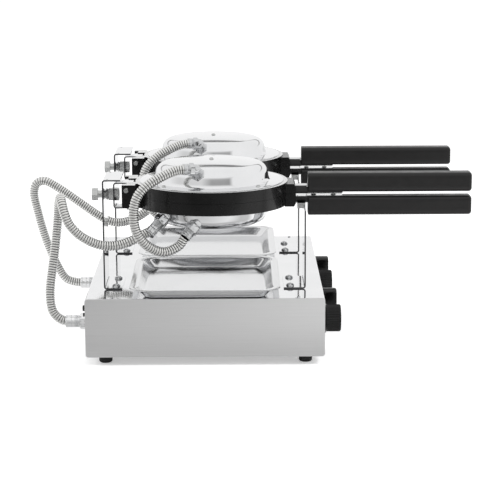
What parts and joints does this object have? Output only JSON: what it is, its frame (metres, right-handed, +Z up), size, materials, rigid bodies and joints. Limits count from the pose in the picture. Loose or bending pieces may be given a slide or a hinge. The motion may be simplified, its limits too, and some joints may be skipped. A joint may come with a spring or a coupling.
{
  "type": "waffle cone maker",
  "caption": "Countertop waffle cone maker with round flip-over heads on a flat steel base, hinged lids, long handles, knobs, drip trays and flexible metal conduits.",
  "frame": {"origin": "centre of the footprint, on the surface that the feet stand on", "axes": "+Z up, -Y towards the front with its knobs and handles, +X to the right as seen from the front"},
  "size_m": [0.4442, 0.6235, 0.273],
  "materials": {
    "polished_steel": "mirror-polished stainless sheet",
    "satin_steel": "satin stainless sheet",
    "conduit_steel": "stripwound flexible metal conduit",
    "coated_casting": "cast aluminium with a black non-stick coating",
    "handle_plastic": "black heat-resistant moulding",
    "knob_plastic": "black moulded knob",
    "rubber": "black rubber",
    "ceramic": "ivory ceramic terminal block",
    "switch_case": "grey switch body",
    "element_sheath": "oxidised steel sheath of a heating element",
    "lamp_lens": "red lamp lens",
    "plated_steel": "plated machined steel"
  },
  "bodies": {
    "base": {"base_shell": "polished_steel", "side_panels": "satin_steel", "base_plate": "satin_steel", "rubber_feet": "rubber", "base_screws": "plated_steel", "rear_uprights": "polished_steel", "front_uprights": "polished_steel", "cradles": "plated_steel", "pivot_bushes": "handle_plastic", "rear_glands": "plated_steel", "rear_bumpers": "rubber", "terminal_block": "ceramic", "thermostats": "switch_case", "timers": "switch_case", "pilot_lights": "lamp_lens", "left_supply_conduit": "conduit_steel", "right_supply_conduit": "conduit_steel"},
    "left_head": {"left_pivot_bolt": "plated_steel", "left_yoke": "polished_steel", "left_lower_pan": "coated_casting", "left_lower_cover": "polished_steel", "left_lower_element": "element_sheath", "left_lower_arm": "plated_steel", "left_lower_handle": "handle_plastic", "left_hinge_pin": "plated_steel", "left_lower_glands": "plated_steel", "left_lower_screws": "plated_steel", "left_link_conduit": "conduit_steel"},
    "left_lid": {"left_upper_pan": "coated_casting", "left_upper_cover": "polished_steel", "left_upper_element": "element_sheath", "left_upper_arm": "plated_steel", "left_upper_handle": "handle_plastic", "left_upper_gland": "plated_steel", "left_upper_screws": "plated_steel"},
    "left_thermostat_dial": {"left_thermostat_knob": "knob_plastic"},
    "left_timer_dial": {"left_timer_knob": "knob_plastic"},
    "left_drip_tray": {"left_tray": "polished_steel"},
    "right_head": {"right_pivot_bolt": "plated_steel", "right_yoke": "polished_steel", "right_lower_pan": "coated_casting", "right_lower_cover": "polished_steel", "right_lower_element": "element_sheath", "right_lower_arm": "plated_steel", "right_lower_handle": "handle_plastic", "right_hinge_pin": "plated_steel", "right_lower_glands": "plated_steel", "right_lower_screws": "plated_steel", "right_link_conduit": "conduit_steel"},
    "right_lid": {"right_upper_pan": "coated_casting", "right_upper_cover": "polished_steel", "right_upper_element": "element_sheath", "right_upper_arm": "plated_steel", "right_upper_handle": "handle_plastic", "right_upper_gland": "plated_steel", "right_upper_screws": "plated_steel"},
    "right_thermostat_dial": {"right_thermostat_knob": "knob_plastic"},
    "right_timer_dial": {"right_timer_knob": "knob_plastic"},
    "right_drip_tray": {"right_tray": "polished_steel"}
  },
  "joints": [
    {"name": "left_flip", "type": "hinge", "parent": "base", "child": "left_head", "pos_m": [-0.115, 0.2175, 0.2185], "axis": [0, 1, 0], "range_deg": [-180, 0], "deforming": ["left_supply_conduit"]},
    {"name": "left_lid_hinge", "type": "hinge", "parent": "left_head", "child": "left_lid", "pos_m": [-0.115, 0.1945, 0.2305], "axis": [-1, 0, 0], "range_deg": [0, 90], "deforming": ["left_link_conduit"]},
    {"name": "left_thermostat_turn", "type": "hinge", "parent": "base", "child": "left_thermostat_dial", "pos_m": [-0.154, -0.0705, 0.0525], "axis": [0, 1, 0], "range_deg": [0, 300]},
    {"name": "left_timer_turn", "type": "hinge", "parent": "base", "child": "left_timer_dial", "pos_m": [-0.057, -0.0705, 0.0525], "axis": [0, 1, 0], "range_deg": [0, 330]},
    {"name": "left_tray_slide", "type": "slide", "parent": "base", "child": "left_drip_tray", "axis": [-1, 0, 0], "range_m": [0, 0.2]},
    {"name": "right_flip", "type": "hinge", "parent": "base", "child": "right_head", "pos_m": [0.115, 0.2175, 0.2185], "axis": [0, 1, 0], "range_deg": [-180, 0], "deforming": ["right_supply_conduit"]},
    {"name": "right_lid_hinge", "type": "hinge", "parent": "right_head", "child": "right_lid", "pos_m": [0.115, 0.1945, 0.2305], "axis": [-1, 0, 0], "range_deg": [0, 90], "deforming": ["right_link_conduit"]},
    {"name": "right_thermostat_turn", "type": "hinge", "parent": "base", "child": "right_thermostat_dial", "pos_m": [0.154, -0.0705, 0.0525], "axis": [0, 1, 0], "range_deg": [0, 300]},
    {"name": "right_timer_turn", "type": "hinge", "parent": "base", "child": "right_timer_dial", "pos_m": [0.057, -0.0705, 0.0525], "axis": [0, 1, 0], "range_deg": [0, 330]},
    {"name": "right_tray_slide", "type": "slide", "parent": "base", "child": "right_drip_tray", "axis": [1, 0, 0], "range_m": [0, 0.2]}
  ]
}
